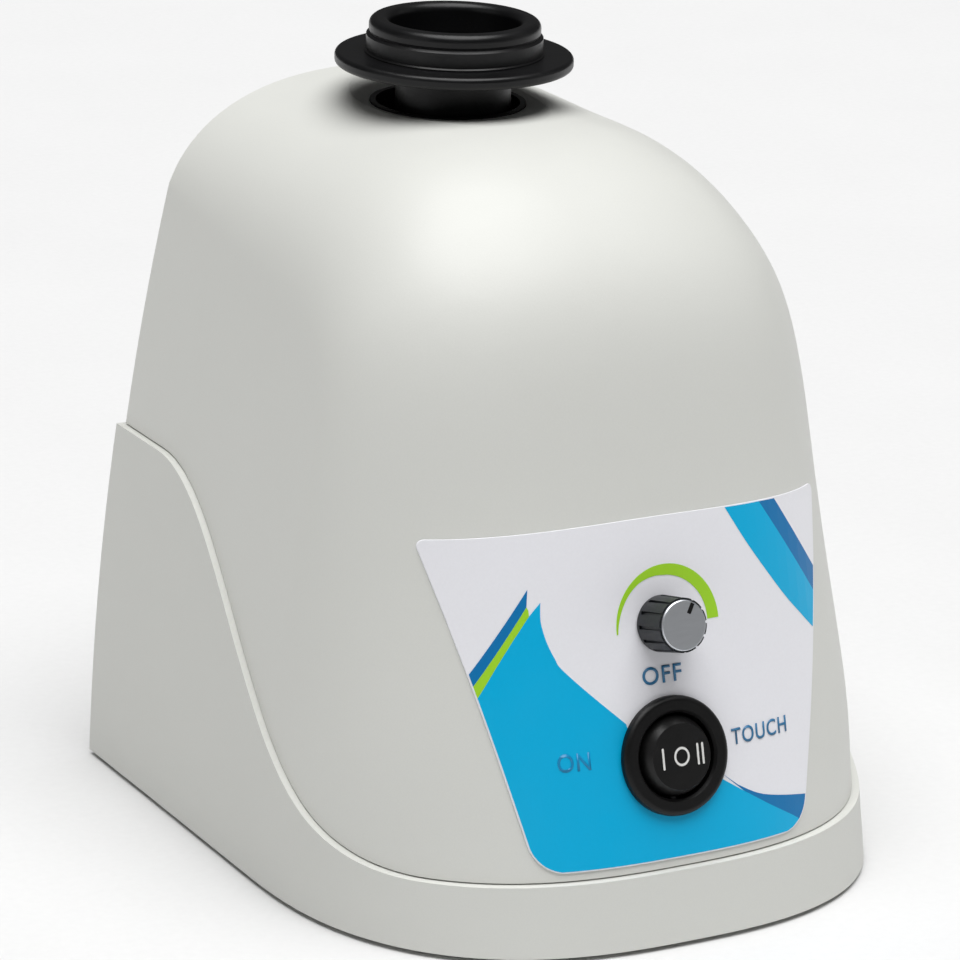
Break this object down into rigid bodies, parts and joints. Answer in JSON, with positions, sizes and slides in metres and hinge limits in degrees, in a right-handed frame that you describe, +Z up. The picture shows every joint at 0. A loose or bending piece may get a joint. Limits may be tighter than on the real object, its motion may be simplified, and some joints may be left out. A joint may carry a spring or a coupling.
{
  "type": "vortex mixer",
  "caption": "Bench vortex mixer: bell-shaped housing in a winged base, sprung orbiting rubber cup head, speed knob and rocker switch.",
  "frame": {"origin": "middle of the footprint on the bench top, under the feet", "axes": "+Z up, +Y towards the rear wall, +X to the right of a user who faces the control panel"},
  "size_m": [0.1256, 0.1427, 0.1597],
  "materials": {
    "housing_plastic": "satin textured ABS, warm light grey",
    "base_plastic": "satin textured ABS, warm light grey",
    "ballast_iron": "painted cast iron",
    "label_film": "printed polycarbonate film",
    "cup_rubber": "smooth moulded rubber",
    "seal_rubber": "moulded rubber",
    "holder_plastic": "moulded nylon",
    "hub_aluminium": "turned",
    "motor_zinc": "zinc plated",
    "laminations": "stacked sheet",
    "copper_wire": "enamelled copper",
    "plate_steel": "zinc plated",
    "board_green": "solder mask",
    "capacitor_sleeve": "shrink sleeve",
    "sink_aluminium": "extruded",
    "component_black": "moulded epoxy",
    "terminal_green": "moulded",
    "plunger_red": "moulded",
    "switch_black": "satin black nylon",
    "rocker_black": "satin black nylon",
    "terminal_brass": "plain brass",
    "knob_black": "moulded",
    "knob_silver": "satin anodised",
    "control_zinc": "plated",
    "bright_steel": "ground",
    "bearing_steel": "polished",
    "screw_zinc": "zinc plated",
    "gland_black": "moulded",
    "gland_nylon": "moulded",
    "foot_rubber": "moulded",
    "spring_steel": "oiled wire"
  },
  "bodies": {
    "housing": {"upper_housing": "housing_plastic", "base_housing": "base_plastic", "ballast_plate": "ballast_iron", "control_label": "label_film", "neck_seal": "seal_rubber", "control_board": "board_green", "board_capacitors": "capacitor_sleeve", "board_heatsink": "sink_aluminium", "board_triac": "component_black", "terminal_block": "terminal_green", "board_screws": "screw_zinc", "press_switch": "component_black", "press_bracket": "plate_steel", "switch_housing": "switch_black", "switch_terminals": "terminal_brass", "rocker_pin": "bright_steel", "speed_control": "control_zinc", "cable_gland": "gland_black", "gland_nut": "gland_nylon", "foot_1": "foot_rubber", "foot_2": "foot_rubber", "foot_3": "foot_rubber", "foot_4": "foot_rubber", "foot_screw_1": "screw_zinc", "foot_screw_2": "screw_zinc", "foot_screw_3": "screw_zinc", "foot_screw_4": "screw_zinc", "housing_screw_1": "screw_zinc", "housing_screw_2": "screw_zinc", "housing_screw_3": "screw_zinc", "housing_screw_4": "screw_zinc", "guide_post_1": "bright_steel", "guide_post_2": "bright_steel", "guide_post_3": "bright_steel", "guide_post_4": "bright_steel", "spring_1": "spring_steel", "spring_2": "spring_steel", "spring_3": "spring_steel", "spring_4": "spring_steel"},
    "carriage": {"carriage_plate": "plate_steel", "motor_can": "motor_zinc", "motor_cap": "motor_zinc", "motor_stator": "laminations", "motor_windings": "copper_wire", "motor_bearing_low": "bearing_steel", "motor_bearing_high": "bearing_steel"},
    "rotor": {"rotor_core": "laminations", "motor_shaft": "bright_steel", "eccentric_hub": "hub_aluminium", "head_bearing_inner": "bearing_steel"},
    "head": {"cup_head": "cup_rubber", "head_holder": "holder_plastic", "head_bearing_outer": "bearing_steel", "head_bearing_balls": "bearing_steel"},
    "knob": {"knob_skirt": "knob_black", "knob_cap": "knob_silver", "speed_shaft": "bright_steel"},
    "rocker": {"rocker": "rocker_black"},
    "plunger": {"press_plunger": "plunger_red"}
  },
  "joints": [
    {"name": "carriage_press", "type": "slide", "parent": "housing", "child": "carriage", "axis": [0, 0, 1], "range_m": [-0.0025, 0], "stiffness_N_per_m": 2500, "springref_m": 0.004, "deforming": ["spring_1", "spring_2", "spring_3", "spring_4"]},
    {"name": "rotor_spin", "type": "hinge", "parent": "carriage", "child": "rotor", "pos_m": [0, 0.0351, 0.1], "axis": [0, 0, 1], "continuous": true},
    {"name": "head_counter_spin", "type": "hinge", "parent": "rotor", "child": "head", "pos_m": [0, 0.0331, 0.116], "axis": [0, 0, 1], "continuous": true},
    {"name": "knob_turn", "type": "hinge", "parent": "housing", "child": "knob", "pos_m": [0, -0.05326, 0.0597], "axis": [0, -0.9655, 0.2605], "range_deg": [-115, 175]},
    {"name": "rocker_tilt", "type": "hinge", "parent": "housing", "child": "rocker", "pos_m": [0, -0.05835, 0.03468], "axis": [0, 0.2605, 0.9655], "range_deg": [-12, 12]},
    {"name": "plunger_press", "type": "slide", "parent": "housing", "child": "plunger", "axis": [0, 0, 1], "range_m": [-0.0025, 0], "stiffness_N_per_m": 60, "springref_m": 0.002}
  ],
  "couplings": [
    {"joint": "head_counter_spin", "follows": "rotor_spin", "ratio": -1},
    {"joint": "plunger_press", "follows": "carriage_press", "ratio": 1}
  ]
}
